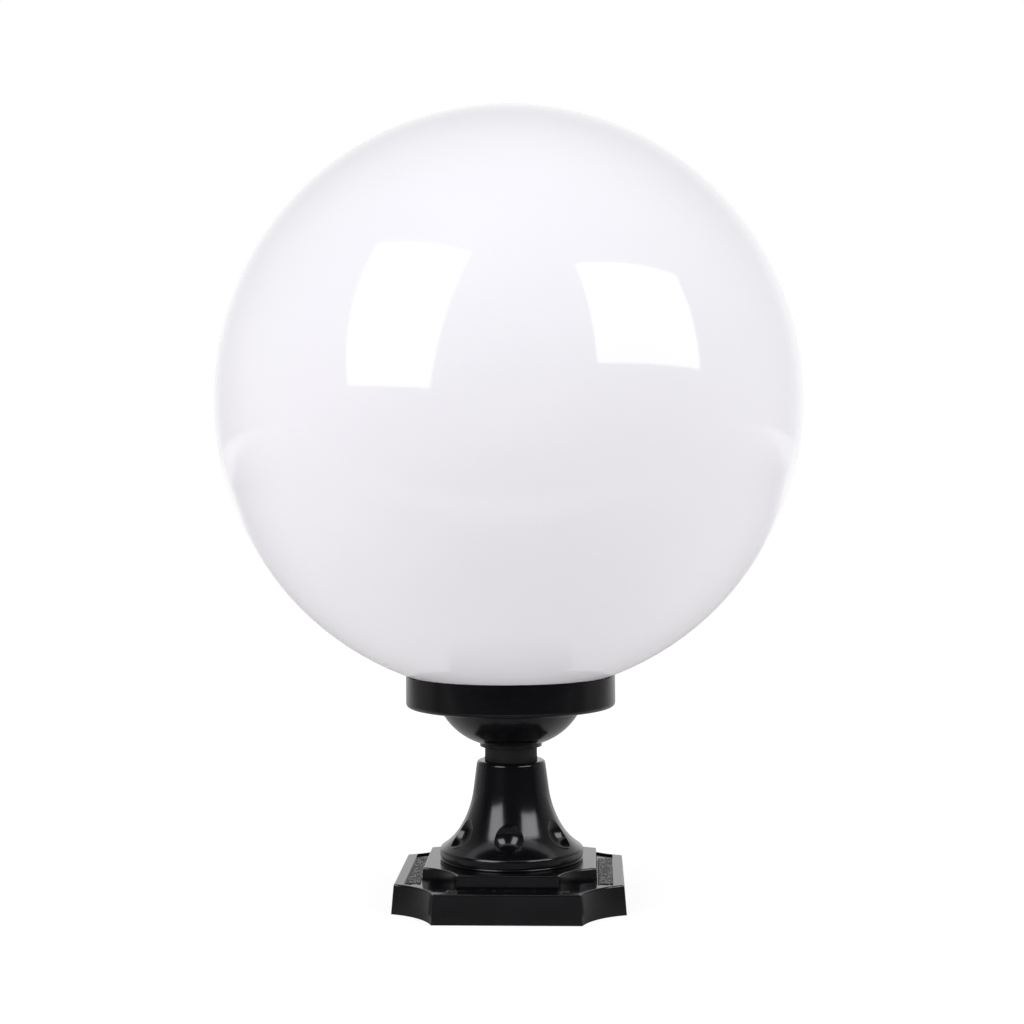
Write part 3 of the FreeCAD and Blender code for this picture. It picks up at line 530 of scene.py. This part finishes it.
def make_world():
    """White to the camera; to reflections white behind and darker towards the front; to
    everything else a soft level that is also brighter behind."""
    world = bpy.data.worlds.new("studio")
    bpy.context.scene.world = world
    world.use_nodes = True
    nodes = Nodes(world.node_tree)
    way = nodes.add("SeparateXYZ", {"Vector": nodes.add("TexCoord").outputs["Generated"]})
    behind = nodes.halved(way.outputs["Y"])
    mirrored = nodes.add("Background", {"Color": nodes.ramp(behind, *BACKDROP)})
    ambient = nodes.add("Background", {"Color": nodes.ramp(behind, *AMBIENT)})
    white = nodes.add("Background", {"Color": WHITE})
    seen, camera = nodes.light_path()
    lit = nodes.add("MixShader", {0: seen, 1: ambient.outputs[0], 2: mirrored.outputs[0]})
    shown = nodes.add("MixShader", {0: camera, 1: lit.outputs[0], 2: white.outputs[0]})
    nodes.add("OutputWorld", {"Surface": shown.outputs[0]})


def make_floor():
    """White table with a front edge, which keeps the object's faint shadow; its glow is
    painted shade round the foot, and to reflections it carries a painted shadow of the globe
    in front and painted shade to the sides.
    """
    data = bpy.data.meshes.new("floor")
    data.from_pydata([(x, y, 0) for x, y in FLOOR_CORNERS], [], [(0, 1, 2, 3)])
    floor = bpy.data.objects.new("floor", data)
    bpy.context.scene.collection.objects.link(floor)
    made = bpy.data.materials.new("white_table_painted_shade")
    made.use_nodes = True
    nodes = Nodes(made.node_tree)
    place = nodes.add("NewGeometry").outputs["Position"]
    distance = nodes.add("VectorMath", {0: place}, operation="LENGTH").outputs["Value"]
    apart = nodes.add("SeparateXYZ", {"Vector": place})
    beside = nodes.math("ABSOLUTE", apart.outputs["X"])
    # painted shade: the floor's own glow is weaker round the foot, so the floor is darker
    # there even where lit
    glow_with_painted_shade = nodes.reach(distance, TABLE_NEAR_PAINTED_SHADE, TABLE_FAR)
    depth = nodes.math("MULTIPLY_ADD", apart.outputs["Y"], DEPTH_SCALE, DEPTH_SHIFT)
    # painted shadow: a dark band on the table in front of the foot, seen in reflections, with
    # painted shade in front
    along = nodes.ramp(depth, *TABLE_DEPTHS_PAINTED_SHADOW)
    aside = nodes.math("MULTIPLY_ADD", apart.outputs["Y"], SIDES_SLOPE, beside)
    # painted shade: the mirrored table dims towards the sides and brightens again far away
    sides = nodes.math("MAXIMUM", nodes.reach(aside, *TABLE_SIDES_PAINTED_SHADE),
                       nodes.reach(distance, *TABLE_REACH))
    mirrored = nodes.math("MULTIPLY", along, sides)
    seen, camera = nodes.light_path()
    strength = nodes.add("Mix", {0: camera, 2: mirrored, 3: glow_with_painted_shade})
    lift = nodes.add("Emission", {"Color": WHITE, "Strength": TABLE_BOUNCE})
    matt = nodes.add("BsdfDiffuse", {"Color": TABLE_MATT})
    bounce = nodes.add("AddShader", {0: matt.outputs[0], 1: lift.outputs[0]})
    shaded = nodes.add("BsdfDiffuse", {"Color": nodes.spread(camera, *TABLE_SHADED)})
    glow = nodes.add("Emission", {"Color": WHITE, "Strength": strength.outputs[0]})
    white = nodes.add("AddShader", {0: shaded.outputs[0], 1: glow.outputs[0]})
    shown = nodes.add("MixShader", {0: seen, 1: bounce.outputs[0], 2: white.outputs[0]})
    nodes.add("OutputMaterial", {"Surface": shown.outputs[0]})
    data.materials.append(made)


# ---------------------------------------------------------------- lamps

# place, way it faces, roll in degrees, width, height, power
SOFTBOXES = {
    "left": ((-0.494, -0.598, 0.644), (0.449, 0.747, -0.490), -4.0, 0.532, 0.764, 4.8),
    "right": ((0.664, -0.438, 0.656), (-0.553, 0.815, -0.176), 0.3, 0.656, 0.533, 4.3),
}
SOFTBOX_TINT = (0.96, 0.95, 1.0)


def make_softboxes():
    """The two window-like lamps mirrored in the globe and down the bell."""
    for side, (place, faces, roll, wide, high, power) in SOFTBOXES.items():
        data = bpy.data.lights.new("softbox_" + side, "AREA")
        data.shape = "RECTANGLE"
        data.size, data.size_y = wide, high
        data.energy = power
        data.color = SOFTBOX_TINT
        lamp = bpy.data.objects.new("softbox_" + side, data)
        bpy.context.scene.collection.objects.link(lamp)
        aim = Vector(faces).to_track_quat("-Z", "Y").to_matrix().to_4x4()
        spin = Matrix.Rotation(math.radians(roll), 4, "Z")
        lamp.matrix_world = Matrix.Translation(place) @ aim @ spin
        lamp.visible_camera = False


# ---------------------------------------------------------------- assembly

bpy.context.scene.view_settings.view_transform = "Standard"
make_camera()
make_world()
make_floor()
make_softboxes()
MATERIALS = make_materials()
dress_nodes(MATERIALS)
make_panels(MATERIALS)
make_threads(MATERIALS)
make_screws(MATERIALS)
